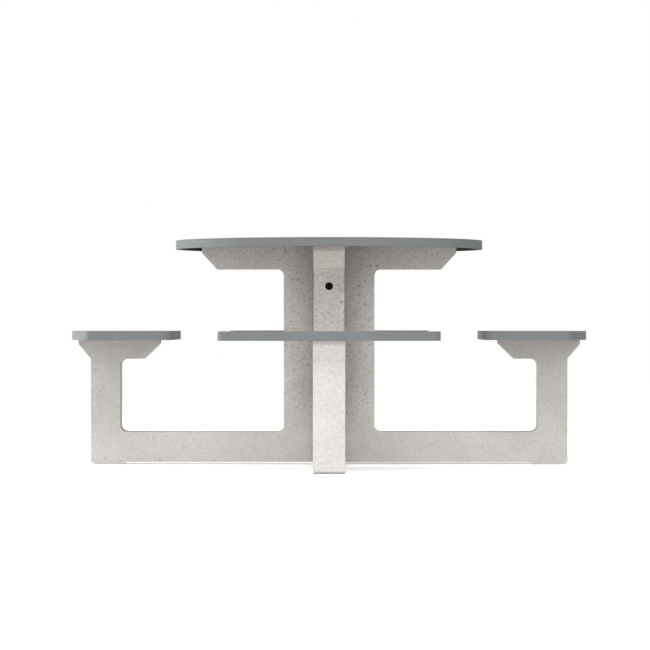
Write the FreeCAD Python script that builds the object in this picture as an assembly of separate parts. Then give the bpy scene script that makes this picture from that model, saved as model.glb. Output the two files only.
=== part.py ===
"""Round picnic table with four fixed bench seats on two crossed concrete frames.

X is to the right, Y away from the viewer and Z up. The origin is on the ground
under the middle of the table top. Lengths are in millimetres.

Both frames have one outline: a column, two arms under the table top, two beams
along the ground and two posts with heads that carry the seats. The along frame
(Y-Z) has a notch from above and the across frame (X-Z) one from below, so that
they cross in one plane, and a tie rod holds the crossing together.
"""
import math
import os

import FreeCAD
import Part
from FreeCAD import Vector

# Heights above the ground
table_height = 740.0
seat_height = 441.0

# Outline of a frame, in its own plane
frame_thickness = 100.0
frame_half_length = 788.0
column_width = 300.0
post_width = 98.0
beam_depth = 99.5
arm_depth = 77.0
arm_reach = 420.0
arm_tip_height = 24.0
arm_slope_run = 49.0
head_depth = 74.0
head_outer_overhang = 41.0
head_outer_nose = 25.0
head_inner_overhang = 130.0
head_inner_nose = 24.0
head_inner_slope_run = 53.0
corner_radius = 22.0
arris = 1.2

# Feet under the posts
foot_height = 8.5
foot_outer_slope_run = 15.0
foot_inner_slope_run = 12.0
foot_inner_overhang = 11.0

# Crossing of the frames
lap_height = 360.0
lap_clearance = 3.0
lap_pad_thickness = 6.0
side_pad_length = 80.0
side_pad_height = 120.0
side_pad_rise = 110.0
spacer_diameter = 60.0

# Tie rod through the crossing
tie_drop = 134.0
tie_rod_diameter = 12.0
tie_hole_clearance = 0.5
tie_sleeve_wall = 2.5
tie_recess_diameter = 26.0
tie_recess_depth = 40.0
tie_washer_diameter = 24.0
tie_washer_thickness = 2.5
tie_nut_width = 19.0
tie_nut_height = 10.0
tie_rod_stand_out = 4.0
cap_sink = 1.0
cap_thickness = 3.0
cap_skirt_length = 9.0
cap_wall = 2.5
cap_clearance = 0.2

# Reinforcing bars, tied behind each face of a frame
bar_diameter = 6.0
bar_face_cover = 13.0
bar_edge_cover = 35.0
bar_end = 12.0
bar_gap = 0.3

# Panels: a deck on a core board, in an edge band that hangs lower than the board, with a lath behind it
table_diameter = 1016.0
rim_depth = 29.0
board_thickness = 18.0
seat_length = 692.0
seat_corner_radius = 37.0
seat_inner_overhang = 54.0
seat_outer_overhang = 22.0
deck_thickness = 6.0
band_thickness = 3.0
band_edge_radius = 0.6
lath_width = 12.0

# Screws from above into sockets cast in the arms and heads
screw_diameter = 10.0
screw_head_diameter = 20.0
screw_head_height = 5.0
screw_sink = 0.5
screw_bite = 28.0
screw_key_width = 6.0
screw_key_depth = 3.5
screw_hole_clearance = 0.5
thread_clearance = 0.1
socket_diameter = 18.0
socket_length = 48.0
arm_screw_inset = 62.0
arm_screw_pitch = 150.0
seat_screw_inner_inset = 67.0
seat_screw_outer_inset = 62.0

# Levels and places that follow from these
frame_top = table_height - board_thickness
arm_underside = frame_top - arm_depth
head_top = seat_height - board_thickness
head_underside = head_top - head_depth
beam_top = foot_height + beam_depth
column_half = column_width / 2
post_inner = frame_half_length - post_width
head_inner_reach = post_inner - head_inner_overhang
head_outer_reach = frame_half_length + head_outer_overhang
frame_half_thickness = frame_thickness / 2
notch_half = frame_half_thickness + lap_clearance
notch_floor = lap_height - lap_pad_thickness / 2
notch_roof = lap_height + lap_pad_thickness / 2
tie_height = frame_top - tie_drop
tie_seat = column_half - tie_recess_depth
tie_bore = tie_rod_diameter / 2 + tie_hole_clearance
sleeve_radius = tie_bore + tie_sleeve_wall
seat_inner_edge = head_inner_reach - seat_inner_overhang
seat_outer_radius = head_outer_reach + seat_outer_overhang
arm_screws = [arm_reach - arm_screw_inset, arm_reach - arm_screw_inset - arm_screw_pitch]
seat_screws = [head_inner_reach + seat_screw_inner_inset, head_outer_reach - seat_screw_outer_inset]

UP = Vector(0, 0, 1)
QUARTERS = {"right": 0, "rear": 90, "left": 180, "front": 270}


def turned(shape, degrees):
    """A copy of a shape turned about the table's axis."""
    copy = shape.copy()
    copy.rotate(Vector(0, 0, 0), UP, degrees)
    return copy


def cylinder(radius, start, end):
    """A round bar between two points."""
    axis = end - start
    return Part.makeCylinder(radius, axis.Length, start, axis)


def tube(outer, inner, start, end):
    """A round tube between two points."""
    return cylinder(outer, start, end).cut(cylinder(inner, start, end))


def hexagon(width, start, end):
    """A hexagonal bar between two points, by its width across flats."""
    axis = end - start
    side = Vector(0, 0, 1)
    if abs(axis.z) > abs(axis.y):
        side = Vector(1, 0, 0)
    other = axis.cross(side)
    other.normalize()
    radius = width / math.sqrt(3)
    ring = []
    for step in range(7):
        angle = math.radians(60 * step)
        ring.append(start + side * (radius * math.cos(angle)) + other * (radius * math.sin(angle)))
    return Part.Face(Part.makePolygon(ring)).extrude(axis)


def rounded_wire(corners):
    """A closed wire through corner points (point, radius), with each corner rounded by its radius."""
    entries = []
    exits = []
    middles = []
    count = len(corners)
    for i in range(count):
        point, radius = corners[i]
        if radius == 0:
            entries.append(point)
            exits.append(point)
            middles.append(None)
            continue
        back = corners[i - 1][0] - point
        ahead = corners[(i + 1) % count][0] - point
        back.normalize()
        ahead.normalize()
        half_angle = back.getAngle(ahead) / 2
        reach = radius / math.tan(half_angle)
        inward = back + ahead
        inward.normalize()
        entries.append(point + back * reach)
        exits.append(point + ahead * reach)
        middles.append(point + inward * (radius / math.sin(half_angle) - radius))
    edges = []
    for i in range(count):
        if middles[i] is not None:
            edges.append(Part.Arc(entries[i], middles[i], exits[i]).toShape())
        edges.append(Part.makeLine(exits[i], entries[(i + 1) % count]))
    return Part.Wire(edges)


def frame_outline():
    """Corner points of a frame in X-Z, from the middle of its underside round to the left."""
    half = [
        (post_inner - foot_inner_overhang - foot_inner_slope_run, foot_height, 0),
        (post_inner - foot_inner_overhang, 0, 0),
        (frame_half_length - foot_outer_slope_run, 0, 0),
        (frame_half_length, foot_height, 0),
        (frame_half_length, head_underside, 0),
        (head_outer_reach, head_top - head_outer_nose, 0),
        (head_outer_reach, head_top, 0),
        (head_inner_reach, head_top, 0),
        (head_inner_reach, head_top - head_inner_nose, 0),
        (head_inner_reach + head_inner_slope_run, head_underside, 0),
        (post_inner, head_underside, corner_radius),
        (post_inner, beam_top, corner_radius),
        (column_half, beam_top, corner_radius),
        (column_half, arm_underside, corner_radius),
        (arm_reach - arm_slope_run, arm_underside, 0),
        (arm_reach, frame_top - arm_tip_height, 0),
        (arm_reach, frame_top, 0),
    ]
    right = [(Vector(x, -frame_half_thickness, z), r) for x, z, r in half]
    left = [(Vector(-x, -frame_half_thickness, z), r) for x, z, r in reversed(half)]
    return right + left


def plain_frame():
    """A frame before its notch and holes, across the viewer, with its long edges broken."""
    block = Part.Face(rounded_wire(frame_outline())).extrude(Vector(0, frame_thickness, 0))
    edges = []
    for edge in block.Edges:
        box = edge.BoundBox
        if box.YLength < 0.001:
            edges.append(edge)
    return block.makeChamfer(arris, edges)


def notch(low, high):
    """The space that the other frame passes through, between two levels."""
    depth = frame_thickness * 2
    corner = Vector(-notch_half, -depth / 2, low)
    return Part.makeBox(notch_half * 2, depth, high - low, corner)


def level_bar(start_x, end_x, z):
    """Bars along a frame at one height, one behind each face."""
    y = frame_half_thickness - bar_face_cover
    pair = []
    for side in (-y, y):
        pair.append(cylinder(bar_diameter / 2, Vector(start_x, side, z), Vector(end_x, side, z)))
    return pair


def upright_bar(x, low, high):
    """Upright bars at one place, laid inside the level bars."""
    y = frame_half_thickness - bar_face_cover - bar_diameter - bar_gap
    pair = []
    for side in (-y, y):
        pair.append(cylinder(bar_diameter / 2, Vector(x, side, low), Vector(x, side, high)))
    return pair


def frame_bars(notch_from_below):
    """A frame's bars before it is turned: a pair in each arm, beam, head, post and column half."""
    beam = foot_height + beam_depth / 2
    arm = frame_top - bar_edge_cover
    head = head_top - bar_edge_cover
    foot = beam - bar_end
    post = post_inner + post_width / 2
    prong = (notch_half + column_half) / 2
    prong_start = prong - bar_end
    beam_end = frame_half_length - bar_edge_cover
    arm_end = arm_reach - bar_edge_cover
    head_start = head_inner_reach + head_inner_slope_run
    head_end = head_outer_reach - bar_edge_cover
    found = []
    if notch_from_below:
        found += level_bar(-arm_end, arm_end, arm)
    else:
        found += level_bar(-beam_end, beam_end, beam)
    for side in (-1, 1):
        if notch_from_below:
            found += level_bar(side * prong_start, side * beam_end, beam)
        else:
            found += level_bar(side * prong_start, side * arm_end, arm)
        found += level_bar(side * head_start, side * head_end, head)
        found += upright_bar(side * post, foot, head + bar_end)
        found += upright_bar(side * prong, foot, arm + bar_end)
    return found


def socket_at(x, top):
    """A threaded socket with its mouth at a level, and the hole that it is cast in."""
    mouth = Vector(x, 0, top)
    foot = Vector(x, 0, top - socket_length)
    thread_end = Vector(x, 0, top - screw_bite - screw_diameter)
    body = cylinder(socket_diameter / 2, foot, mouth)
    thread = cylinder(screw_diameter / 2 + thread_clearance, thread_end, mouth)
    return body.cut(thread), body


def screw_at(x, top):
    """A countersunk screw whose head lies just under a panel's top, and the hole that it needs."""
    head_top_level = top - screw_sink
    neck = head_top_level - screw_head_height
    tip = top - board_thickness - screw_bite
    shank_radius = screw_diameter / 2
    head_radius = screw_head_diameter / 2
    head = Part.makeCone(shank_radius, head_radius, screw_head_height, Vector(x, 0, neck), UP)
    shank = cylinder(shank_radius, Vector(x, 0, tip), Vector(x, 0, neck))
    key_floor = Vector(x, 0, head_top_level - screw_key_depth)
    key = hexagon(screw_key_width, key_floor, Vector(x, 0, head_top_level + 1))
    screw = head.fuse(shank).removeSplitter().cut(key)
    mouth = cylinder(head_radius, Vector(x, 0, head_top_level), Vector(x, 0, top + 1))
    below = Vector(x, 0, top - board_thickness - 1)
    hole = cylinder(shank_radius + screw_hole_clearance, below, Vector(x, 0, top))
    return screw.Solids[0], hole.fuse(head).fuse(mouth)


def seat_plan(inset, level):
    """A seat's outline, moved in by an inset: straight inner edge and ends, and an outer arc about Z."""
    inner = seat_inner_edge + inset
    end = seat_length / 2 - inset
    outer = seat_outer_radius - inset
    radius = seat_corner_radius - inset
    corner_y = end - radius
    corner_x = math.sqrt((outer - radius) ** 2 - corner_y ** 2)
    meet = Vector(corner_x, corner_y, 0)
    meet.normalize()
    slant = math.sqrt(0.5) * radius
    turn = math.atan2(corner_y, corner_x) / 2 + math.radians(45)

    def place(x, y):
        return Vector(x, y, level)

    arc_end = place(meet.x * outer, meet.y * outer)
    arc_start = place(meet.x * outer, -meet.y * outer)
    bulge_x = corner_x + radius * math.cos(turn)
    bulge_y = corner_y + radius * math.sin(turn)
    inner_x = inner + radius
    slant_x = inner_x - slant
    slant_y = corner_y + slant
    edges = [
        Part.Arc(arc_start, place(outer, 0), arc_end).toShape(),
        Part.Arc(arc_end, place(bulge_x, bulge_y), place(corner_x, end)).toShape(),
        Part.makeLine(place(corner_x, end), place(inner_x, end)),
        Part.Arc(place(inner_x, end), place(slant_x, slant_y), place(inner, corner_y)).toShape(),
        Part.makeLine(place(inner, corner_y), place(inner, -corner_y)),
        Part.Arc(place(inner, -corner_y), place(slant_x, -slant_y), place(inner_x, -end)).toShape(),
        Part.makeLine(place(inner_x, -end), place(corner_x, -end)),
        Part.Arc(place(corner_x, -end), place(bulge_x, -bulge_y), arc_start).toShape(),
    ]
    return Part.Face(Part.Wire(edges))


def table_plan(inset, level):
    """The table top's round outline, moved in by an inset."""
    circle = Part.makeCircle(table_diameter / 2 - inset, Vector(0, 0, level), UP)
    return Part.Face(Part.Wire([circle]))


def panel(plan, top, holes):
    """The solids of a panel by name, from its plan, top level and screw holes."""
    board_underside = top - board_thickness
    rim_underside = top - rim_depth
    lath_inset = band_thickness + lath_width
    deck = plan(band_thickness, top - deck_thickness).extrude(UP * deck_thickness)
    core = plan(band_thickness, board_underside).extrude(UP * (board_thickness - deck_thickness))
    lath = plan(band_thickness, rim_underside).extrude(UP * (rim_depth - board_thickness))
    lath = lath.cut(plan(lath_inset, rim_underside - 1).extrude(UP * (rim_depth + 2)))
    whole = plan(0, rim_underside).extrude(UP * rim_depth)
    rims = []
    for edge in whole.Edges:
        if edge.BoundBox.ZLength < 0.001:
            rims.append(edge)
    band = whole.makeFillet(band_edge_radius, rims)
    band = band.cut(plan(band_thickness, rim_underside - 1).extrude(UP * (rim_depth + 2)))
    for hole in holes:
        deck = deck.cut(hole)
        core = core.cut(hole)
    layers = {"deck": deck, "core": core, "edge_band": band, "edge_lath": lath}
    return {name: shape.Solids[0] for name, shape in layers.items()}


def save(name, solids):
    """Write one node's solids to its STEP file."""
    for solid in solids:
        if not solid.isValid() or solid.Volume <= 0:
            raise ValueError("unsound solid in " + name)
    Part.makeCompound(solids).exportStep(os.path.join("parts", name + ".step"))


os.makedirs("parts", exist_ok=True)

# Sockets and screws of one arm, and of one head, on the right
arm_sockets = []
arm_socket_holes = []
arm_screw_solids = []
arm_screw_holes = []
for place in arm_screws:
    socket, socket_hole = socket_at(place, frame_top)
    screw, screw_hole = screw_at(place, table_height)
    arm_sockets.append(socket)
    arm_socket_holes.append(socket_hole)
    arm_screw_solids.append(screw)
    arm_screw_holes.append(screw_hole)
head_sockets = []
head_socket_holes = []
head_screw_solids = []
head_screw_holes = []
for place in seat_screws:
    socket, socket_hole = socket_at(place, head_top)
    screw, screw_hole = screw_at(place, seat_height)
    head_sockets.append(socket)
    head_socket_holes.append(socket_hole)
    head_screw_solids.append(screw)
    head_screw_holes.append(screw_hole)
cast_holes = arm_socket_holes + head_socket_holes

# Concrete frames, with holes for what is cast in
across = plain_frame().cut(notch(-1, notch_roof))
along = plain_frame().cut(notch(notch_floor, frame_top + 1))
for hole in cast_holes:
    across = across.cut(hole).cut(turned(hole, 180))
    along = along.cut(hole).cut(turned(hole, 180))
across_bars = frame_bars(True)
along_bars = frame_bars(False)
across = across.cut(across_bars)
along = turned(along.cut(along_bars), 90)
along_bars = [turned(bar, 90) for bar in along_bars]

# Tie rod's holes along Y
rod_far = column_half + 1


def tie_point(y):
    """A point on the tie rod's axis."""
    return Vector(0, y, tie_height)


sleeve_hole = cylinder(sleeve_radius, tie_point(-rod_far), tie_point(rod_far))
across = across.cut(sleeve_hole)
along = along.cut(sleeve_hole)
for side in (-1, 1):
    recess = cylinder(tie_recess_diameter / 2, tie_point(side * tie_seat), tie_point(side * rod_far))
    along = along.cut(recess)

save("across_frame", [across.Solids[0]])
save("along_frame", [along.Solids[0]])
save("across_frame_bars", across_bars)
save("along_frame_bars", along_bars)

# Pads that seat and centre the frames at the crossing
pad_corner = Vector(-frame_half_thickness, -frame_half_thickness, notch_floor)
save("lap_pad", [Part.makeBox(frame_thickness, frame_thickness, lap_pad_thickness, pad_corner)])
side_pads = []
for side in (-1, 1):
    near = frame_half_thickness
    if side < 0:
        near = -notch_half
    corner = Vector(near, -side_pad_length / 2, side_pad_rise)
    side_pads.append(Part.makeBox(lap_clearance, side_pad_length, side_pad_height, corner))
save("lap_side_pads", side_pads)
spacers = []
sleeves = [tube(sleeve_radius, tie_bore, tie_point(-frame_half_thickness), tie_point(frame_half_thickness))]
washers = []
nuts = []
caps = []
for side in (-1, 1):
    face = side * frame_half_thickness
    prong = side * notch_half
    seat = side * tie_seat
    washer_top = side * (tie_seat + tie_washer_thickness)
    nut_top = side * (tie_seat + tie_washer_thickness + tie_nut_height)
    spacers.append(tube(spacer_diameter / 2, sleeve_radius, tie_point(face), tie_point(prong)))
    sleeves.append(tube(sleeve_radius, tie_bore, tie_point(prong), tie_point(seat)))
    washers.append(tube(tie_washer_diameter / 2, tie_bore, tie_point(seat), tie_point(washer_top)))
    nut = hexagon(tie_nut_width, tie_point(washer_top), tie_point(nut_top))
    thread = cylinder(tie_rod_diameter / 2 + thread_clearance, tie_point(washer_top), tie_point(nut_top))
    nuts.append(nut.cut(thread))
    cap_radius = tie_recess_diameter / 2 - cap_clearance
    cap_face = side * (column_half - cap_sink)
    cap_under = side * (column_half - cap_sink - cap_thickness)
    cap_end = side * (column_half - cap_sink - cap_thickness - cap_skirt_length)
    cap = cylinder(cap_radius, tie_point(cap_end), tie_point(cap_face))
    hollow = cylinder(cap_radius - cap_wall, tie_point(cap_end), tie_point(cap_under))
    caps.append(cap.cut(hollow))
rod_end = tie_seat + tie_washer_thickness + tie_nut_height + tie_rod_stand_out
save("lap_spacers", spacers)
save("tie_sleeves", sleeves)
save("tie_washers", washers)
save("tie_nuts", nuts)
save("tie_caps", caps)
save("tie_rod", [cylinder(tie_rod_diameter / 2, tie_point(-rod_end), tie_point(rod_end))])

# Table top
table_holes = []
table_sockets = []
table_screws = []
for degrees in QUARTERS.values():
    table_holes += [turned(hole, degrees) for hole in arm_screw_holes]
    table_sockets += [turned(socket, degrees) for socket in arm_sockets]
    table_screws += [turned(screw, degrees) for screw in arm_screw_solids]
for layer, solid in panel(table_plan, table_height, table_holes).items():
    save("table_" + layer, [solid])
save("table_screws", table_screws)
save("table_sockets", table_sockets)

# Seats: one is made on the right and turned to each side
seat_layers = panel(seat_plan, seat_height, head_screw_holes)
for side, degrees in QUARTERS.items():
    for layer, solid in seat_layers.items():
        save(side + "_seat_" + layer, [turned(solid, degrees)])
    save(side + "_seat_screws", [turned(screw, degrees) for screw in head_screw_solids])
    save(side + "_seat_sockets", [turned(socket, degrees) for socket in head_sockets])
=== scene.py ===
from collections import namedtuple
import math

import bmesh
import bpy
from bpy.props import FloatProperty, FloatVectorProperty, IntProperty, PointerProperty
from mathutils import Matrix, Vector


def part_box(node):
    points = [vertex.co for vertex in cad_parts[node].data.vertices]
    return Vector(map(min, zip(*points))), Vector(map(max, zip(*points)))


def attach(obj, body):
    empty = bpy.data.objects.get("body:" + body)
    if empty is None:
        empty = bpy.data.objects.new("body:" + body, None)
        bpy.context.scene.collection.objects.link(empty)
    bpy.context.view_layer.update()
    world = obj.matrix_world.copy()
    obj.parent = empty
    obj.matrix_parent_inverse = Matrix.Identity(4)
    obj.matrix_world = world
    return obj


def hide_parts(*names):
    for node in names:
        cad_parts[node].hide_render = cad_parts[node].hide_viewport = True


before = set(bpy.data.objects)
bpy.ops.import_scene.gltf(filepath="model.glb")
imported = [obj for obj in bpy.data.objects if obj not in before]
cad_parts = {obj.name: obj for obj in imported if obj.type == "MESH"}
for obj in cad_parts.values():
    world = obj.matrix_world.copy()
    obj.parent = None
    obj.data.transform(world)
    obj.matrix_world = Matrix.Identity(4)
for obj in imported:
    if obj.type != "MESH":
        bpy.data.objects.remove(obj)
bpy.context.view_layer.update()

bl_info = {
    "name": "Round Picnic Table",
    "version": (1, 0, 0),
    "blender": (4, 5, 0),
    "location": "View3D > Sidebar > Picnic Table",
    "description": "Dresses a round concrete picnic table with four fixed bench seats",
    "category": "Add Mesh",
}

BODY = "root"
MM = 0.001
# The frame's own levels and reach, so that every piece lies where the solids are
TABLE_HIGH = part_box("table_edge_band")[1]
DECK_LOW, DECK_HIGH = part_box("table_deck")
CORE_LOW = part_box("table_core")[0]
SCREW_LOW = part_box("table_screws")[0]
SEAT_LOW, SEAT_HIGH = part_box("right_seat_edge_band")
CAP_LOW, CAP_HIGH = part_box("tie_caps")
# Each seat faces the table's axis from one side, in degrees round it
SIDES = {"right": 0, "rear": 90, "left": 180, "front": 270}
SEATS = [side + "_seat" for side in SIDES]
# Degrees from point to point on a panel's arcs, its corners, and the holes in its deck and its core
OUTLINE_STEP = 1.5
CORNER_STEP = 6
COUNTERSINK_STEP = 10
BORE_STEP = 15
# Points round a screw, a multiple of six for its hexagonal recess, and round a cap
SCREW_POINTS = 36
CAP_POINTS = 48
# Points of one piece that lie closer than this are merged
MERGE = 0.01 * MM
# Places of a Mix node's colour inputs and output, and of a Random Value node's number
MIX_A = 6
MIX_B = 7
MIX_COLOUR = 2
RANDOM_NUMBER = 1


def linear(hex_colour):
    """A colour written as sRGB hex, as the linear values that shaders use."""
    values = []
    for start in (1, 3, 5):
        part = int(hex_colour[start:start + 2], 16) / 255
        values.append(part / 12.92 if part <= 0.04045 else ((part + 0.055) / 1.055) ** 2.4)
    return (values[0], values[1], values[2], 1.0)


def colour(label, about, hex_colour):
    """A colour that a user may change."""
    return FloatVectorProperty(name=label, description=about, subtype="COLOR", size=4, min=0, max=1,
                               default=linear(hex_colour))


def metres(label, about, value):
    """A length that a user may change, in metres."""
    return FloatProperty(name=label, description=about, unit="LENGTH", min=0, default=value, precision=4)


def length(label, about, millimetres):
    """A length that a user may change, given in millimetres and kept in metres."""
    return metres(label, about, millimetres * MM)


class PicnicSizes(bpy.types.PropertyGroup):
    """Sizes of the panels and their fittings."""
    table_radius: metres("Table radius", "From the axis to the outside of the edge band", TABLE_HIGH[0])
    board_thickness: metres("Board thickness", "Of deck and core together", TABLE_HIGH[2] - CORE_LOW[2])
    deck_thickness: metres("Deck thickness", "Of the laminate on the core", DECK_HIGH[2] - DECK_LOW[2])
    seat_inner: metres("Seat inner edge", "From the axis to the straight inner edge", SEAT_LOW[0])
    seat_outer: metres("Seat outer radius", "Of the outer arc, about the axis", SEAT_HIGH[0])
    seat_length: metres("Seat length", "From end to end", SEAT_HIGH[1] - SEAT_LOW[1])
    seat_corner: length("Seat corner", "Radius of a seat's corners in plan", 37)
    band_thickness: length("Band thickness", "Of the strip round each panel", 3)
    band_edge: length("Band edge", "Radius of the strip's long edges", 0.6)
    deck_edge: length("Deck edge", "Width of the broken edge round each deck", 0.7)
    lath_width: length("Lath width", "Of the black lath behind each band, under the board", 12)
    screw_head: length("Screw head", "Diameter of the countersunk head", 20)
    screw_shank: length("Screw shank", "Diameter", 10)
    screw_tip: length("Screw tip", "Width of the chamfer at the end of the shank", 1.5)
    screw_key: length("Screw key", "Width of the hexagonal recess across its flats", 6)
    screw_key_depth: length("Screw key depth", "Of the hexagonal recess", 3.5)
    screw_sink: length("Screw sink", "How far a head lies under the deck's top", 0.5)
    screw_play: length("Screw play", "Room round a shank in its core board", 0.5)
    screw_seed: IntProperty(name="Screw seed", description="Settles how far each screw is turned",
                            default=4, min=0)
    cap_depth: length("Cap depth", "From a tie cap's face to the end of its skirt", 12)
    cap_wall: length("Cap wall", "Thickness of a tie cap's skirt", 2.5)
    cap_face: length("Cap face", "Thickness of a tie cap's face", 3)


class PicnicColours(bpy.types.PropertyGroup):
    """Colours of the finishes."""
    concrete: colour("Concrete", "Pale cement skin", "#CDCAC6")
    concrete_cloud: colour("Concrete clouds", "Slightly darker patches in the skin", "#C5C2BD")
    concrete_pore: colour("Concrete pores", "Air pores and dark flecks", "#66625C")
    band: colour("Edge band", "Grey powder coat", "#707474")
    deck: colour("Deck", "Light face of the laminate", "#AD8F70")
    deck_grain: colour("Deck grain", "Darker lines in the laminate", "#8E7358")
    core: colour("Core", "Black faced board", "#0E0F10")


class PicnicStage(bpy.types.PropertyGroup):
    """Camera and light."""
    camera_distance: metres("Camera distance", "From the table's axis, in front", 11.288)
    camera_height: metres("Camera height", "Above the ground", 0.466)
    camera_lens: FloatProperty(name="Lens", description="Focal length in millimetres", default=188.3)
    aim: FloatVectorProperty(name="Aim", description="Point in the middle of the picture", subtype="XYZ",
                             default=(-0.0136, 0.0, 0.4606))
    high_power: FloatProperty(name="High light", description="Soft light from the front, high up",
                              subtype="POWER", default=96.0)
    front_power: FloatProperty(name="Front light", description="Wide soft light from the whole front",
                               subtype="POWER", default=235.0)
    side_power: FloatProperty(name="Side light", description="Soft light from the left, a little behind",
                              subtype="POWER", default=140.0)
    sky_level: FloatProperty(name="Sky level", description="Even light from all round", default=0.6, min=0)
    floor_lift: FloatProperty(name="Floor lift", default=0.41, min=0,
                              description="Brings the floor to white where it isn't in shadow")


def add(tree, kind, props=None, values=None, links=None):
    """Adds a node with its own properties, its inputs' values, and links from other nodes' outputs."""
    node = tree.nodes.new(kind)
    for name, value in (props or {}).items():
        setattr(node, name, value)
    for name, value in (values or {}).items():
        node.inputs[name].default_value = value
    for name, source in (links or {}).items():
        tree.links.new(source, node.inputs[name])
    return node


def per_metre(millimetres):
    """A texture's scale for a pattern that repeats about every so many millimetres."""
    return 1 / (millimetres * MM)


def new_finish(name):
    """A material with one shader, and its node tree."""
    material = bpy.data.materials.new(name)
    material.use_nodes = True
    tree = material.node_tree
    tree.nodes.clear()
    surface = add(tree, "ShaderNodeBsdfPrincipled")
    add(tree, "ShaderNodeOutputMaterial", links={"Surface": surface.outputs["BSDF"]})
    return material, tree, surface


def join_surface(tree, surface, base, rough, height, strength, depth):
    """Links a finish's colour, its roughness and a bump, so many millimetres deep, to its shader."""
    bump = add(tree, "ShaderNodeBump", values={"Strength": strength, "Distance": depth * MM},
               links={"Height": height}).outputs["Normal"]
    tree.links.new(base, surface.inputs["Base Color"])
    tree.links.new(rough, surface.inputs["Roughness"])
    tree.links.new(bump, surface.inputs["Normal"])


def spots(tree, place, spacing, most, share):
    """A mask of round spots: spacing and largest radius in millimetres, and the share that is bare."""
    largest = most / spacing
    cells = add(tree, "ShaderNodeTexVoronoi", {"feature": "F1"}, {"Scale": per_metre(spacing)},
                {"Vector": place}).outputs
    chance = add(tree, "ShaderNodeSeparateColor", links={"Color": cells["Color"]}).outputs["Red"]
    reach = add(tree, "ShaderNodeMapRange",
                values={"From Min": share, "From Max": 1.0, "To Min": 0.0, "To Max": largest},
                links={"Value": chance}).outputs["Result"]
    inside = add(tree, "ShaderNodeMath", {"operation": "SUBTRACT"},
                 links={0: reach, 1: cells["Distance"]}).outputs["Value"]
    return add(tree, "ShaderNodeMapRange", values={"From Min": 0.0, "From Max": largest / 2},
               links={"Value": inside}).outputs["Result"]


def painted_shade_masks(tree, place):
    """Masks for painted shade on the concrete: under the top, and in the crossing's inside corners."""
    axes = add(tree, "ShaderNodeSeparateXYZ", links={"Vector": place}).outputs
    plan = add(tree, "ShaderNodeCombineXYZ", links={"X": axes["X"], "Y": axes["Y"]}).outputs["Vector"]
    out = add(tree, "ShaderNodeVectorMath", {"operation": "LENGTH"}, links={0: plan}).outputs["Value"]
    # Both fade out towards the ground
    raised = add(tree, "ShaderNodeMapRange", values={"From Min": 100 * MM, "From Max": 250 * MM},
                 links={"Value": axes["Z"]}).outputs["Result"]
    painted_shade_under_top = add(tree, "ShaderNodeMapRange", values={"From Min": 450 * MM, "From Max": 100 * MM},
                  links={"Value": out, "To Max": raised}).outputs["Result"]
    corner = add(tree, "ShaderNodeMapRange", values={"From Min": 150 * MM, "From Max": 60 * MM},
                 links={"Value": out, "To Max": raised}).outputs["Result"]
    return painted_shade_under_top, corner


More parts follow.
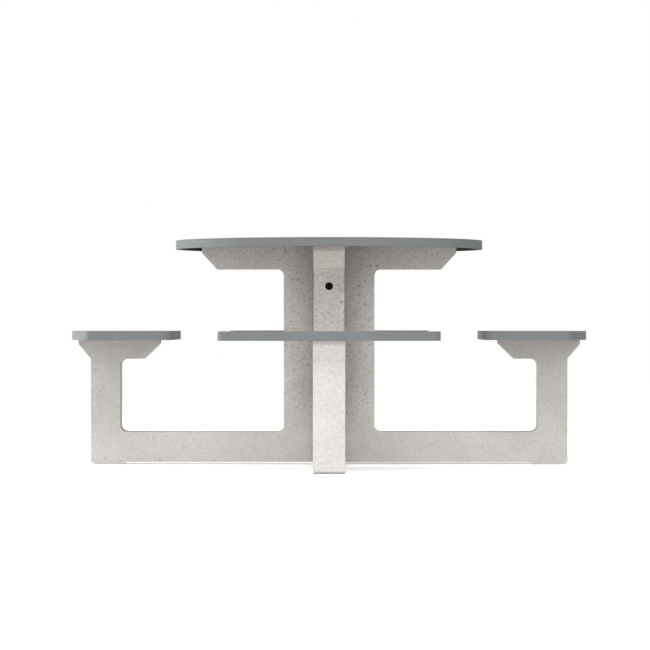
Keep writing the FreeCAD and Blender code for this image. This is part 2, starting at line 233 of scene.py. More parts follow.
def cast_concrete(colours):
    """Washed cast concrete: pale and matt, with sand, slanting dark flecks, air pores and faint clouds, and
    painted shade in the crossing's inside corners and under the top.
    """
    cloud_width = 130
    # The sand is finer than this: it is drawn at 7 mm so that it shows
    sand_width = 7
    fleck_width = 6.5
    fleck_slant = math.radians(35)
    pore_spacing = 20
    largest_pore = 6.6
    bare_share = 0.1
    material, tree, surface = new_finish("washed_cast_concrete")
    place = add(tree, "ShaderNodeTexCoord").outputs["Object"]
    clouds = add(tree, "ShaderNodeTexNoise",
                 values={"Scale": per_metre(cloud_width), "Detail": 5.0, "Roughness": 0.62},
                 links={"Vector": place}).outputs["Fac"]
    patches = add(tree, "ShaderNodeMapRange", values={"From Min": 0.36, "From Max": 0.66},
                  links={"Value": clouds}).outputs["Result"]
    skin = add(tree, "ShaderNodeMix", {"data_type": "RGBA"},
               {MIX_A: colours.concrete, MIX_B: colours.concrete_cloud},
               {"Factor": patches}).outputs[MIX_COLOUR]
    sand = add(tree, "ShaderNodeTexNoise", values={"Scale": per_metre(sand_width), "Detail": 2.0},
               links={"Vector": place}).outputs["Fac"]
    sand_shade = add(tree, "ShaderNodeMapRange",
                     values={"From Min": 0.3, "From Max": 0.7, "To Min": 0.94, "To Max": 1.05},
                     links={"Value": sand}).outputs["Result"]
    toned = add(tree, "ShaderNodeMix", {"data_type": "RGBA", "blend_type": "MULTIPLY"}, {"Factor": 1.0},
                {MIX_A: skin, MIX_B: sand_shade}).outputs[MIX_COLOUR]
    # Painted shade: the inside corners of the crossing are darkened by up to 24 %, and the pits under the
    # top are darkened more
    painted_shade_under_top, corner = painted_shade_masks(tree, place)
    kept = add(tree, "ShaderNodeMapRange", values={"To Min": 1.0, "To Max": 0.76},
               links={"Value": corner}).outputs["Result"]
    corner_shaded = add(tree, "ShaderNodeMix", {"data_type": "RGBA", "blend_type": "MULTIPLY"}, {"Factor": 1.0},
                 {MIX_A: toned, MIX_B: kept}).outputs[MIX_COLOUR]
    # Washing bares short dark flecks that slant across every face, longer than they are wide
    leaning = add(tree, "ShaderNodeMapping", values={"Rotation": (-fleck_slant, fleck_slant, 0)},
                  links={"Vector": place}).outputs["Vector"]
    drawn = add(tree, "ShaderNodeMapping", values={"Scale": (0.6, 1, 1)},
                links={"Vector": leaning}).outputs["Vector"]
    flow = add(tree, "ShaderNodeTexNoise", values={"Scale": per_metre(fleck_width), "Detail": 3.0},
               links={"Vector": drawn}).outputs["Fac"]
    flecks = add(tree, "ShaderNodeMapRange", values={"From Min": 0.45, "From Max": 0.77, "To Max": 0.8},
                 links={"Value": flow}).outputs["Result"]
    pores = spots(tree, place, pore_spacing, largest_pore, bare_share)
    pits = add(tree, "ShaderNodeMath", {"operation": "MAXIMUM"},
               links={0: flecks, 1: pores}).outputs["Value"]
    # Painted shade: the flecks and pores are darker under the top, where shade falls
    strength = add(tree, "ShaderNodeMapRange", values={"To Min": 0.24, "To Max": 0.58},
                   links={"Value": painted_shade_under_top}).outputs["Result"]
    dark = add(tree, "ShaderNodeMath", {"operation": "MULTIPLY"},
               links={0: pits, 1: strength}).outputs["Value"]
    mixed = add(tree, "ShaderNodeMix", {"data_type": "RGBA"}, {MIX_B: colours.concrete_pore},
                {"Factor": dark, MIX_A: corner_shaded}).outputs[MIX_COLOUR]
    rough = add(tree, "ShaderNodeMapRange", values={"To Min": 0.78, "To Max": 0.95},
                links={"Value": clouds}).outputs["Result"]
    surface.inputs["Specular IOR Level"].default_value = 0.3
    # Pores and flecks are pits in the skin
    height = add(tree, "ShaderNodeMath", {"operation": "MULTIPLY_ADD"}, {1: -1.0},
                 {0: dark, 2: sand}).outputs["Value"]
    join_surface(tree, surface, mixed, rough, height, strength=0.5, depth=1.2)
    return material


def powder_coat(colours):
    """Powder coat on a metal strip: satin mid grey with a fine even texture and a trace of dust."""
    # Orange peel is about 1 mm: it is drawn at 2.5 mm so that it shows
    peel_width = 2.5
    dust_width = 70
    material, tree, surface = new_finish("satin_powder_coat")
    place = add(tree, "ShaderNodeTexCoord").outputs["Object"]
    peel = add(tree, "ShaderNodeTexNoise", values={"Scale": per_metre(peel_width), "Detail": 2.0},
               links={"Vector": place}).outputs["Fac"]
    dust = add(tree, "ShaderNodeTexNoise", values={"Scale": per_metre(dust_width), "Detail": 4.0},
               links={"Vector": place}).outputs["Fac"]
    shade = add(tree, "ShaderNodeMapRange",
                values={"From Min": 0.3, "From Max": 0.7, "To Min": 0.96, "To Max": 1.03},
                links={"Value": dust}).outputs["Result"]
    toned = add(tree, "ShaderNodeMix", {"data_type": "RGBA", "blend_type": "MULTIPLY"},
                {"Factor": 1.0, MIX_A: colours.band}, {MIX_B: shade}).outputs[MIX_COLOUR]
    rough = add(tree, "ShaderNodeMapRange", values={"To Min": 0.58, "To Max": 0.74},
                links={"Value": dust}).outputs["Result"]
    surface.inputs["Specular IOR Level"].default_value = 0.12
    join_surface(tree, surface, toned, rough, peel, strength=0.12, depth=0.15)
    return material


def laminate(colours, name, turn):
    """Compact laminate with a printed grain, turned by so many degrees: warm sand colour, low gloss."""
    band_width = 45
    fibre_width = 5
    grain_stretch = 14
    material, tree, surface = new_finish(name)
    place = add(tree, "ShaderNodeTexCoord").outputs["Object"]
    # The grain is drawn out along the turned X
    along = add(tree, "ShaderNodeMapping", values={"Rotation": (0, 0, math.radians(turn))},
                links={"Vector": place}).outputs["Vector"]
    drawn = add(tree, "ShaderNodeMapping", values={"Scale": (1 / grain_stretch, 1, 1)},
                links={"Vector": along}).outputs["Vector"]
    bands = add(tree, "ShaderNodeTexNoise",
                values={"Scale": per_metre(band_width), "Detail": 3.0, "Distortion": 0.6},
                links={"Vector": drawn}).outputs["Fac"]
    fibres = add(tree, "ShaderNodeTexNoise", values={"Scale": per_metre(fibre_width), "Detail": 3.0},
                 links={"Vector": drawn}).outputs["Fac"]
    both = add(tree, "ShaderNodeMath", {"operation": "MULTIPLY_ADD"}, {1: 0.55},
               {0: fibres, 2: bands}).outputs["Value"]
    depth = add(tree, "ShaderNodeMapRange", values={"From Min": 0.6, "From Max": 0.98},
                links={"Value": both}).outputs["Result"]
    mixed = add(tree, "ShaderNodeMix", {"data_type": "RGBA"},
                {MIX_A: colours.deck, MIX_B: colours.deck_grain}, {"Factor": depth}).outputs[MIX_COLOUR]
    rough = add(tree, "ShaderNodeMapRange", values={"To Min": 0.5, "To Max": 0.66},
                links={"Value": bands}).outputs["Result"]
    surface.inputs["Specular IOR Level"].default_value = 0.2
    join_surface(tree, surface, mixed, rough, fibres, strength=0.15, depth=0.2)
    return material


def plain_finish(name, first, second, patch, roughness, depth, metallic=0.0, specular=0.5):
    """Two close colours in patches that roughness and bump follow, with patch and depth in millimetres."""
    material, tree, surface = new_finish(name)
    place = add(tree, "ShaderNodeTexCoord").outputs["Object"]
    noise = add(tree, "ShaderNodeTexNoise", values={"Scale": per_metre(patch), "Detail": 4.0},
                links={"Vector": place}).outputs["Fac"]
    spread = add(tree, "ShaderNodeMapRange", values={"From Min": 0.32, "From Max": 0.68},
                 links={"Value": noise}).outputs["Result"]
    mixed = add(tree, "ShaderNodeMix", {"data_type": "RGBA"}, {MIX_A: first, MIX_B: second},
                {"Factor": spread}).outputs[MIX_COLOUR]
    rough = add(tree, "ShaderNodeMapRange",
                values={"To Min": roughness - 0.06, "To Max": roughness + 0.08},
                links={"Value": spread}).outputs["Result"]
    surface.inputs["Metallic"].default_value = metallic
    surface.inputs["Specular IOR Level"].default_value = specular
    join_surface(tree, surface, mixed, rough, noise, strength=0.2, depth=depth)
    return material


def wear(node, material):
    """Gives a solid of the frame its finish."""
    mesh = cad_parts[node].data
    mesh.materials.clear()
    mesh.materials.append(material)


def new_piece(name, mesh, material, slot, *nodes):
    """A finished piece that stands for nodes of the frame."""
    mesh.name = name
    if material is not None:
        mesh.materials.clear()
        mesh.materials.append(material)
    piece = bpy.data.objects.new(name, mesh)
    bpy.context.scene.collection.objects.link(piece)
    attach(piece, BODY)
    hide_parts(*nodes)
    return piece


def plain_mesh(bm, name):
    """A mesh of a finished bmesh, with its doubles merged and its faces outwards."""
    bmesh.ops.remove_doubles(bm, verts=bm.verts, dist=MERGE)
    bmesh.ops.recalc_face_normals(bm, faces=bm.faces)
    mesh = bpy.data.meshes.new(name)
    bm.to_mesh(mesh)
    bm.free()
    return mesh


def evaluated_mesh(start, modifiers):
    """The plain mesh that a start mesh becomes under a list of (kind, settings) modifiers."""
    helper = bpy.data.objects.new("helper", start)
    bpy.context.scene.collection.objects.link(helper)
    for kind, settings in modifiers:
        modifier = helper.modifiers.new(kind, kind)
        for name, value in settings.items():
            if kind == "NODES" and name != "node_group":
                modifier[name] = value
            else:
                setattr(modifier, name, value)
    depsgraph = bpy.context.evaluated_depsgraph_get()
    mesh = bpy.data.meshes.new_from_object(helper.evaluated_get(depsgraph), depsgraph=depsgraph)
    bpy.data.objects.remove(helper)
    bpy.data.meshes.remove(start)
    return mesh


def arc(centre, radius, start, end, step):
    """Points on an arc in plan from one angle to another, about every step degrees."""
    count = max(2, round(abs(end - start) / step))
    points = []
    for i in range(count + 1):
        angle = math.radians(start + (end - start) * i / count)
        points.append((centre[0] + radius * math.cos(angle), centre[1] + radius * math.sin(angle)))
    return points


def circle(centre, radius, step):
    """Points of a full circle in plan, each once."""
    return arc(centre, radius, 0, 360, step)[:-1]


def table_outline(sizes, inset):
    """The table top's round outline in plan, moved in by an inset."""
    return circle((0, 0), sizes.table_radius - inset, OUTLINE_STEP)


def seat_outline(sizes, inset):
    """The right seat's outline in plan, moved in: an outer arc, two ends and a straight inner edge."""
    inner = sizes.seat_inner + inset
    outer = sizes.seat_outer - inset
    radius = sizes.seat_corner - inset
    corner_y = sizes.seat_length / 2 - inset - radius
    corner_x = math.sqrt((outer - radius) ** 2 - corner_y ** 2)
    meet = math.degrees(math.atan2(corner_y, corner_x))
    points = arc((0, 0), outer, -meet, meet, OUTLINE_STEP)
    points += arc((corner_x, corner_y), radius, meet, 90, CORNER_STEP)[1:]
    points += arc((inner + radius, corner_y), radius, 90, 180, CORNER_STEP)
    points += arc((inner + radius, -corner_y), radius, 180, 270, CORNER_STEP)
    points += arc((corner_x, -corner_y), radius, 270, 360 - meet, CORNER_STEP)[:-1]
    return points


def turned(points, degrees):
    """Points in plan, turned about the table's axis."""
    cosine = math.cos(math.radians(degrees))
    sine = math.sin(math.radians(degrees))
    return [(x * cosine - y * sine, x * sine + y * cosine) for x, y in points]


# A panel's name, outline and turn, the levels of its top and of its rim's underside, and its screws' places
Panel = namedtuple("Panel", "name outline turn top rim screws")


def screw_places(node, apart):
    """Where a node's screws stand in plan, from the rims of their heads, which lie some way apart."""
    rim_slack = 0.1 * MM
    verts = [vert.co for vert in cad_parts[node].data.vertices]
    top = max(co.z for co in verts)
    heads = []
    for co in verts:
        if top - co.z > rim_slack:
            continue
        for head in heads:
            if (co.xy - head[0]).length < apart:
                head.append(co.xy)
                break
        else:
            heads.append([co.xy])
    places = []
    for head in heads:
        xs = [point.x for point in head]
        ys = [point.y for point in head]
        places.append(((min(xs) + max(xs)) / 2, (min(ys) + max(ys)) / 2))
    return places


def panels(sizes):
    """The table top and the seats."""
    shapes = [("table", table_outline, 0)]
    for side, degrees in SIDES.items():
        shapes.append((side + "_seat", seat_outline, degrees))
    found = []
    for name, outline, turn in shapes:
        low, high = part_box(name + "_edge_band")
        screws = screw_places(name + "_screws", sizes.screw_head * 2)
        found.append(Panel(name, outline, turn, high[2], low[2], screws))
    return found


def ring(bm, points, level):
    """A closed ring of points in plan at a level."""
    return [bm.verts.new((x, y, level)) for x, y in points]


def bridge(bm, first, second):
    """Faces between two rings of as many points."""
    count = len(first)
    for i in range(count):
        after = (i + 1) % count
        bm.faces.new((first[i], first[after], second[after], second[i]))


def fill(bm, rings):
    """A flat face inside the first ring and round the others."""
    edges = []
    for points in rings:
        count = len(points)
        for i in range(count):
            pair = (points[i], points[(i + 1) % count])
            edges.append(bm.edges.get(pair) or bm.edges.new(pair))
    bmesh.ops.triangle_fill(bm, edges=edges, use_beauty=True, use_dissolve=False)


def board(name, rim, holes):
    """A flat board: rim and holes are lists of (points in plan, level) from its top to its underside."""
    bm = bmesh.new()
    tops = []
    undersides = []
    for wall in [rim] + holes:
        rings = [ring(bm, points, level) for points, level in wall]
        for i in range(len(rings) - 1):
            bridge(bm, rings[i], rings[i + 1])
        tops.append(rings[0])
        undersides.append(rings[-1])
    fill(bm, tops)
    fill(bm, undersides)
    return plain_mesh(bm, name)


def lathe(bm, profile, count, place):
    """A turned shape of (radius or radius by angle, height) points, put in space by place(x, y, height)."""
    rings = []
    for radius, height in profile:
        verts = []
        for i in range(count):
            angle = 2 * math.pi * i / count
            reach = radius(angle) if callable(radius) else radius
            verts.append(bm.verts.new(place(reach * math.cos(angle), reach * math.sin(angle), height)))
        rings.append(verts)
    for i in range(len(rings) - 1):
        bridge(bm, rings[i], rings[i + 1])
    bm.faces.new(rings[0])
    bm.faces.new(rings[-1])


def hexagon(half):
    """The radius of a hexagon by angle, from half its width across the flats."""
    return lambda angle: half / math.cos((angle + math.pi / 6) % (math.pi / 3) - math.pi / 6)


def socket_id(tree, name):
    """The identifier of a tree's named input."""
    for item in tree.interface.items_tree:
        if item.item_type == "SOCKET" and item.in_out == "INPUT" and item.name == name:
            return item.identifier
    raise ValueError("no input named " + name)


def new_tree(name, inputs):
    """A geometry node tree with a geometry in and out and named inputs (name, kind, default)."""
    tree = bpy.data.node_groups.new(name, "GeometryNodeTree")
    tree.interface.new_socket("Geometry", in_out="INPUT", socket_type="NodeSocketGeometry")
    tree.interface.new_socket("Geometry", in_out="OUTPUT", socket_type="NodeSocketGeometry")
    for label, kind, default in inputs:
        item = tree.interface.new_socket(label, in_out="INPUT", socket_type=kind)
        if default is not None:
            item.default_value = default
    return tree, add(tree, "NodeGroupInput").outputs


def end_tree(tree, geometry, material):
    """Ends a geometry node tree with one whole mesh in one finish."""
    whole = add(tree, "GeometryNodeRealizeInstances", links={"Geometry": geometry}).outputs["Geometry"]
    coated = add(tree, "GeometryNodeSetMaterial", links={"Geometry": whole, "Material": material})
    add(tree, "NodeGroupOutput", links={"Geometry": coated.outputs["Geometry"]})
    return tree


def band_tree():
    """A strip with rounded edges swept round a closed outline."""
    tree, given = new_tree("edge_band_strip", [
        ("Strip height", "NodeSocketFloat", 30 * MM),
        ("Strip thickness", "NodeSocketFloat", 3 * MM),
        ("Edge radius", "NodeSocketFloat", 0.6 * MM),
        ("Finish", "NodeSocketMaterial", None),
    ])
    path = add(tree, "GeometryNodeMeshToCurve", links={"Mesh": given["Geometry"]}).outputs["Curve"]
    upright = add(tree, "GeometryNodeSetCurveNormal", {"mode": "Z_UP"},
                  links={"Curve": path}).outputs["Curve"]
    section = add(tree, "GeometryNodeCurvePrimitiveQuadrilateral",
                  links={"Width": given["Strip thickness"],
                         "Height": given["Strip height"]}).outputs["Curve"]
    eased = add(tree, "GeometryNodeFilletCurve", {"mode": "POLY"}, {"Count": 3},
                {"Curve": section, "Radius": given["Edge radius"]}).outputs["Curve"]
    swept = add(tree, "GeometryNodeCurveToMesh",
                links={"Curve": upright, "Profile Curve": eased}).outputs["Mesh"]
    smooth = add(tree, "GeometryNodeSetShadeSmooth", links={"Geometry": swept}).outputs["Geometry"]
    return end_tree(tree, smooth, given["Finish"])


def screw_tree():
    """One screw set at each point, each turned by its own angle."""
    tree, given = new_tree("deck_screws", [
        ("Screw", "NodeSocketObject", None),
        ("Most turn", "NodeSocketFloat", 1.0),
        ("Seed", "NodeSocketInt", 0),
        ("Finish", "NodeSocketMaterial", None),
    ])
    screw = add(tree, "GeometryNodeObjectInfo", links={"Object": given["Screw"]}).outputs["Geometry"]
    angle = add(tree, "FunctionNodeRandomValue", {"data_type": "FLOAT"},
                links={"Max": given["Most turn"], "Seed": given["Seed"]}).outputs[RANDOM_NUMBER]
    turn = add(tree, "ShaderNodeCombineXYZ", links={"Z": angle}).outputs["Vector"]
    rotation = add(tree, "FunctionNodeEulerToRotation", links={"Euler": turn}).outputs["Rotation"]
    points = add(tree, "GeometryNodeMeshToPoints", links={"Mesh": given["Geometry"]}).outputs["Points"]
    placed = add(tree, "GeometryNodeInstanceOnPoints",
                 links={"Points": points, "Instance": screw, "Rotation": rotation}).outputs["Instances"]
    return end_tree(tree, placed, given["Finish"])


class PICNIC_OT_concrete_frames(bpy.types.Operator):
    """Finish the two crossed concrete frames."""
    bl_idname = "picnic.concrete_frames"
    bl_label = "Concrete frames"

    def execute(self, context):
        concrete = cast_concrete(context.scene.picnic_colours)
        wear("across_frame", concrete)
        wear("along_frame", concrete)
        return {"FINISHED"}


class PICNIC_OT_hidden_fittings(bpy.types.Operator):
    """Finish what is cast in or hidden: bars, pads, rod, nuts, washers, sleeves and sockets."""
    bl_idname = "picnic.hidden_fittings"
    bl_label = "Hidden fittings"

    def execute(self, context):
        # Hot-rolled bar: dark mill scale with rust showing through
        scale = plain_finish("rolled_steel_bar", linear("#4A413B"), linear("#7A5138"),
                             patch=12, roughness=0.7, depth=0.4, metallic=0.4)
        # Zinc plate: pale blue-grey spangle, fairly bright
        zinc = plain_finish("zinc_plated_steel", linear("#AEB3B8"), linear("#C6C8C6"),
                            patch=6, roughness=0.36, depth=0.05, metallic=1.0)
        # Moulded rubber: near black and matt
        rubber = plain_finish("moulded_rubber", linear("#1D1D1D"), linear("#2A2928"),
                              patch=8, roughness=0.82, depth=0.3)
        for node in ("across_frame_bars", "along_frame_bars"):
            wear(node, scale)
        for node in ("lap_pad", "lap_side_pads", "lap_spacers"):
            wear(node, rubber)
        fittings = ["tie_rod", "tie_nuts", "tie_washers", "tie_sleeves", "table_sockets"]
        for node in fittings + [seat + "_sockets" for seat in SEATS]:
            wear(node, zinc)
        return {"FINISHED"}


class PICNIC_OT_edge_bands(bpy.types.Operator):
    """Sweep the grey strip round the table top and each seat."""
    bl_idname = "picnic.edge_bands"
    bl_label = "Edge bands"

    def execute(self, context):
        sizes = context.scene.picnic_sizes
        coat = powder_coat(context.scene.picnic_colours)
        tree = band_tree()
        for panel in panels(sizes):
            settings = {
                "node_group": tree,
                socket_id(tree, "Strip height"): panel.top - panel.rim,
                socket_id(tree, "Strip thickness"): sizes.band_thickness,
                socket_id(tree, "Edge radius"): sizes.band_edge,
                socket_id(tree, "Finish"): coat,
            }
            bm = bmesh.new()
            middle = turned(panel.outline(sizes, sizes.band_thickness / 2), panel.turn)
            path = ring(bm, middle, (panel.top + panel.rim) / 2)
            for i, vert in enumerate(path):
                bm.edges.new((vert, path[(i + 1) % len(path)]))
            start = bpy.data.meshes.new("path")
            bm.to_mesh(start)
            bm.free()
            mesh = evaluated_mesh(start, [("NODES", settings), ("WEIGHTED_NORMAL", {"weight": 50})])
            new_piece(panel.name + "_band_strip", mesh, None, "grey_band", panel.name + "_edge_band")
        return {"FINISHED"}


class PICNIC_OT_decks(bpy.types.Operator):
    """Lay the sand-coloured decks of the table top and seats, with broken edges and countersunk holes."""
    bl_idname = "picnic.decks"
    bl_label = "Decks"

    def execute(self, context):
        sizes = context.scene.picnic_sizes
        colours = context.scene.picnic_colours
        across = laminate(colours, "sand_laminate_across", 0)
        along = laminate(colours, "sand_laminate_along", 90)
        head = sizes.screw_head / 2
        slope = (sizes.screw_head - sizes.screw_shank) / 2
        edge = sizes.deck_edge
        for panel in panels(sizes):
            top = panel.top
            underside = top - sizes.deck_thickness
            side = turned(panel.outline(sizes, sizes.band_thickness), panel.turn)
            rim = [
                (turned(panel.outline(sizes, sizes.band_thickness + edge), panel.turn), top),
                (side, top - edge),
                (side, underside),
            ]
            countersink = [
                (head + edge / 2, top),
                (head, top - sizes.screw_sink),
                (head - slope, top - sizes.screw_sink - slope),
                (head - slope, underside),
            ]
            holes = []
            for place in panel.screws:
                wall = [(circle(place, radius, COUNTERSINK_STEP), level) for radius, level in countersink]
                holes.append(wall)
            grain = along if panel.name in ("right_seat", "left_seat") else across
            name = panel.name + "_deck_board"
            new_piece(name, board(name, rim, holes), grain, "sand_laminate", panel.name + "_deck")
        return {"FINISHED"}


class PICNIC_OT_cores(bpy.types.Operator):
    """Lay the black core board under each deck, and the black lath round it behind the band."""
    bl_idname = "picnic.cores"
    bl_label = "Cores"

    def execute(self, context):
        sizes = context.scene.picnic_sizes
        # Film-faced board: black, slightly waxy, with faint scuffs
        film = plain_finish("black_faced_board", context.scene.picnic_colours.core, linear("#161718"),
                            patch=55, roughness=0.55, depth=0.2, specular=0.2)
        bore = sizes.screw_shank / 2 + sizes.screw_play
        edge = sizes.deck_edge
        lath_inside = sizes.band_thickness + sizes.lath_width
        for panel in panels(sizes):
            upper = panel.top - sizes.deck_thickness
            underside = panel.top - sizes.board_thickness
            side = turned(panel.outline(sizes, sizes.band_thickness), panel.turn)
            holes = []
            for place in panel.screws:
                wall = circle(place, bore, BORE_STEP)
                holes.append([(wall, upper), (wall, underside)])
            name = panel.name + "_core_board"
            core = board(name, [(side, upper), (side, underside)], holes)
            new_piece(name, core, film, "black_core", panel.name + "_core")
            inside = turned(panel.outline(sizes, lath_inside), panel.turn)
            eased = turned(panel.outline(sizes, lath_inside - edge), panel.turn)
            hollow = [(inside, underside), (inside, panel.rim + edge), (eased, panel.rim)]
            name = panel.name + "_lath_ring"
            lath = board(name, [(side, underside), (side, panel.rim)], [hollow])
            new_piece(name, lath, film, "black_core", panel.name + "_edge_lath")
        return {"FINISHED"}


class PICNIC_OT_screws(bpy.types.Operator):
    """Set a countersunk screw with a hexagonal recess in each hole."""
    bl_idname = "picnic.screws"
    bl_label = "Screws"

    def execute(self, context):
        sizes = context.scene.picnic_sizes
        # Stainless steel, turned and tumbled: pale, soft gloss
        steel = plain_finish("satin_stainless_steel", linear("#B9B8B4"), linear("#CFCEC9"),
                             patch=3, roughness=0.3, depth=0.04, metallic=1.0)
        head = sizes.screw_head / 2
        shank = sizes.screw_shank / 2
        half_key = sizes.screw_key / 2
        end = SCREW_LOW[2] + sizes.screw_sink - TABLE_HIGH[2]
        # The head's rim is rounded in two steps, and a flat ring lies round the recess's broken edge
        rim_in = 0.1 * MM
        rim_down = 0.3 * MM
        face_in = 0.5 * MM
        flat_ring = 1.6 * MM
        key_edge = 0.35 * MM
        # The recess ends in a small cone
        cone_depth = 0.3 * MM
        cone_share = 0.35
        profile = [
            (shank - sizes.screw_tip, end),
            (shank, end + sizes.screw_tip),
            (shank, shank - head),
            (head - rim_in, -rim_down),
            (head - face_in, 0.0),
            (half_key + flat_ring, 0.0),
            (hexagon(half_key + key_edge), 0.0),
            (hexagon(half_key), -key_edge),
            (hexagon(half_key), cone_depth - sizes.screw_key_depth),
            (hexagon(half_key * cone_share), -sizes.screw_key_depth),
        ]
        bm = bmesh.new()
        lathe(bm, profile, SCREW_POINTS, lambda x, y, height: (x, y, height))
        template = bpy.data.objects.new("screw_template", plain_mesh(bm, "screw_template"))
        context.scene.collection.objects.link(template)
        tree = screw_tree()
        settings = {
            "node_group": tree,
            socket_id(tree, "Screw"): template,
            socket_id(tree, "Most turn"): math.radians(60),
            socket_id(tree, "Seed"): sizes.screw_seed,
            socket_id(tree, "Finish"): steel,
        }
        for panel in panels(sizes):
            start = bpy.data.meshes.new("places")
            start.from_pydata([(x, y, panel.top - sizes.screw_sink) for x, y in panel.screws], [], [])
            mesh = evaluated_mesh(start, [("NODES", settings)])
            new_piece(panel.name + "_screw_set", mesh, None, "stainless_screw", panel.name + "_screws")
        bpy.data.objects.remove(template)
        return {"FINISHED"}


class PICNIC_OT_tie_caps(bpy.types.Operator):
    """Press a round black cap into the recess at each end of the tie rod."""
    bl_idname = "picnic.tie_caps"
    bl_label = "Tie caps"

    def execute(self, context):
        sizes = context.scene.picnic_sizes
        # Moulded polythene: black and matt, so that it reads as a dark hole from afar
        plastic = plain_finish("black_moulded_cap", linear("#060606"), linear("#0C0C0C"),
                               patch=4, roughness=0.75, depth=0.1, specular=0.1)
        radius = (CAP_HIGH[0] - CAP_LOW[0]) / 2
        hollow = radius - sizes.cap_wall
        level = (CAP_HIGH[2] + CAP_LOW[2]) / 2
        # A broken edge, a flat rim, and a dish inside it that rises a little to the middle
        edge = 0.6 * MM
        rim_in = 2.2 * MM
        dish_in = 2.8 * MM
        dish_depth = 0.5 * MM
        middle_radius = 2.0 * MM
        middle_depth = 0.3 * MM
        profile = [
            (hollow, -sizes.cap_face),
            (hollow, -sizes.cap_depth),
            (radius, -sizes.cap_depth),
            (radius, -edge),
            (radius - edge, 0.0),
            (radius - rim_in, 0.0),
            (radius - dish_in, -dish_depth),
            (middle_radius, -middle_depth),
        ]
        bm = bmesh.new()
        for face, way in ((CAP_LOW[1], -1), (CAP_HIGH[1], 1)):
            lathe(bm, profile, CAP_POINTS, lambda x, z, height: (x, face + way * height, level + z))
        new_piece("tie_cap_pair", plain_mesh(bm, "tie_cap_pair"), plastic, "black_cap", "tie_caps")
        return {"FINISHED"}


def white_to_viewer(tree):
    """1 for rays from the camera, a mirror or glass, and 0 for rays that light the object."""
    path = add(tree, "ShaderNodeLightPath").outputs
    seen = add(tree, "ShaderNodeMath", {"operation": "MAXIMUM"},
               links={0: path["Is Camera Ray"], 1: path["Is Glossy Ray"]}).outputs["Value"]
    return add(tree, "ShaderNodeMath", {"operation": "MAXIMUM"},
               links={0: seen, 1: path["Is Transmission Ray"]}).outputs["Value"]


def lay_floor(scene, stage):
    """A white floor that is lifted to white for the viewer and keeps the object's shadow."""
    reach = 30.0
    corners = [(-reach, -reach, 0), (reach, -reach, 0), (reach, reach, 0), (-reach, reach, 0)]
    mesh = bpy.data.meshes.new("studio_floor")
    mesh.from_pydata(corners, [], [(0, 1, 2, 3)])
    paint = bpy.data.materials.new("white_floor")
    paint.use_nodes = True
    tree = paint.node_tree
    tree.nodes.clear()
    matt = add(tree, "ShaderNodeBsdfDiffuse", values={"Color": linear("#FFFFFF")}).outputs["BSDF"]
    lift = add(tree, "ShaderNodeMath", {"operation": "MULTIPLY"}, {1: stage.floor_lift},
               {0: white_to_viewer(tree)}).outputs["Value"]
    glow = add(tree, "ShaderNodeEmission", links={"Strength": lift}).outputs["Emission"]
    both = add(tree, "ShaderNodeAddShader", links={0: matt, 1: glow}).outputs["Shader"]
    add(tree, "ShaderNodeOutputMaterial", links={"Surface": both})
    mesh.materials.append(paint)
    floor = bpy.data.objects.new("studio_floor", mesh)
    scene.collection.objects.link(floor)


def set_sky(scene, stage):
    """Even light from all round, behind which the viewer sees plain white."""
    world = bpy.data.worlds.new("studio_sky")
    world.use_nodes = True
    tree = world.node_tree
    tree.nodes.clear()
    level = add(tree, "ShaderNodeMath", {"operation": "MULTIPLY_ADD"},
                {1: 1 - stage.sky_level, 2: stage.sky_level},
                {0: white_to_viewer(tree)}).outputs["Value"]
    sky = add(tree, "ShaderNodeBackground", values={"Color": (1, 1, 1, 1)},
              links={"Strength": level}).outputs["Background"]
    add(tree, "ShaderNodeOutputWorld", links={"Surface": sky})
    scene.world = world


Lamp = namedtuple("Lamp", "name place width height power")


def hang_lamps(scene, stage):
    """Three soft rectangles of light, turned to the middle of the table, which the camera doesn't see."""
    middle = Vector((0, 0, 0.4))
    lamps = [
        Lamp("high_softbox", (0.0, -3.2, 4.2), width=2.0, height=2.0, power=stage.high_power),
        Lamp("front_wall", (0.0, -6.0, 2.9), width=12.0, height=5.8, power=stage.front_power),
        Lamp("side_softbox", (-3.8, 1.4, 0.8), width=1.6, height=1.6, power=stage.side_power),
    ]
    for lamp in lamps:
        light = bpy.data.lights.new(lamp.name, "AREA")
        light.shape = "RECTANGLE"
        light.size = lamp.width
        light.size_y = lamp.height
        light.energy = lamp.power
        holder = bpy.data.objects.new(lamp.name, light)
        holder.location = lamp.place
        holder.rotation_euler = (middle - Vector(lamp.place)).to_track_quat("-Z", "Y").to_euler()
        holder.visible_camera = False
        scene.collection.objects.link(holder)


def set_camera(scene, stage):
    """A long lens in front of the table, a little above the seats."""
    lens = bpy.data.cameras.new("front_camera")
    lens.lens = stage.camera_lens
    lens.sensor_width = 36.0
    lens.clip_end = 100.0
    camera = bpy.data.objects.new("front_camera", lens)
    camera.location = (0, -stage.camera_distance, stage.camera_height)
    sight = Vector(stage.aim) - camera.location
    camera.rotation_euler = sight.to_track_quat("-Z", "Y").to_euler()
    scene.collection.objects.link(camera)
    scene.camera = camera


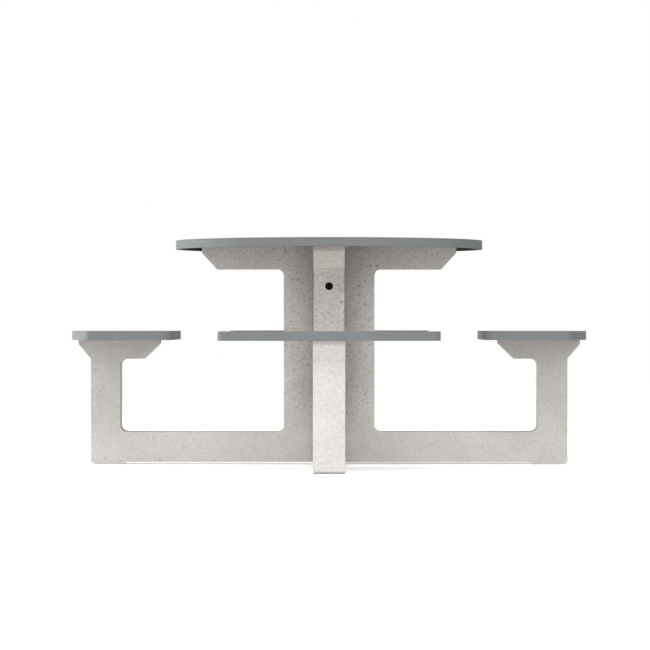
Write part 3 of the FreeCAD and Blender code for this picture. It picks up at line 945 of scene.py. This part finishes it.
class PICNIC_OT_stage(bpy.types.Operator):
    """Set the floor, the light and the camera."""
    bl_idname = "picnic.stage"
    bl_label = "Stage"

    def execute(self, context):
        scene = context.scene
        scene.view_settings.view_transform = "Standard"
        for prepare in (lay_floor, set_sky, hang_lamps, set_camera):
            prepare(scene, scene.picnic_stage)
        return {"FINISHED"}


class PICNIC_PT_panel(bpy.types.Panel):
    """Lists the table's pieces, sizes and colours."""
    bl_label = "Picnic Table"
    bl_idname = "PICNIC_PT_panel"
    bl_space_type = "VIEW_3D"
    bl_region_type = "UI"
    bl_category = "Picnic Table"

    def draw(self, context):
        layout = self.layout
        for operator in OPERATORS:
            layout.operator(operator.bl_idname)
        scene = context.scene
        for group in (scene.picnic_sizes, scene.picnic_colours, scene.picnic_stage):
            box = layout.box()
            for name in group.__annotations__:
                box.prop(group, name)


GROUPS = (PicnicSizes, PicnicColours, PicnicStage)
OPERATORS = (
    PICNIC_OT_stage,
    PICNIC_OT_concrete_frames,
    PICNIC_OT_hidden_fittings,
    PICNIC_OT_edge_bands,
    PICNIC_OT_decks,
    PICNIC_OT_cores,
    PICNIC_OT_screws,
    PICNIC_OT_tie_caps,
)
CLASSES = GROUPS + OPERATORS + (PICNIC_PT_panel,)


def register():
    """Makes the classes and the scene's settings known."""
    for cls in CLASSES:
        bpy.utils.register_class(cls)
    bpy.types.Scene.picnic_sizes = PointerProperty(type=PicnicSizes)
    bpy.types.Scene.picnic_colours = PointerProperty(type=PicnicColours)
    bpy.types.Scene.picnic_stage = PointerProperty(type=PicnicStage)


def unregister():
    """Takes the settings and the classes away again."""
    del bpy.types.Scene.picnic_stage
    del bpy.types.Scene.picnic_colours
    del bpy.types.Scene.picnic_sizes
    for cls in reversed(CLASSES):
        bpy.utils.unregister_class(cls)


def main():
    """Builds the whole table on its stage."""
    register()
    bpy.ops.picnic.stage()
    bpy.ops.picnic.concrete_frames()
    bpy.ops.picnic.hidden_fittings()
    bpy.ops.picnic.edge_bands()
    bpy.ops.picnic.decks()
    bpy.ops.picnic.cores()
    bpy.ops.picnic.screws()
    bpy.ops.picnic.tie_caps()


if __name__ == "__main__":
    main()
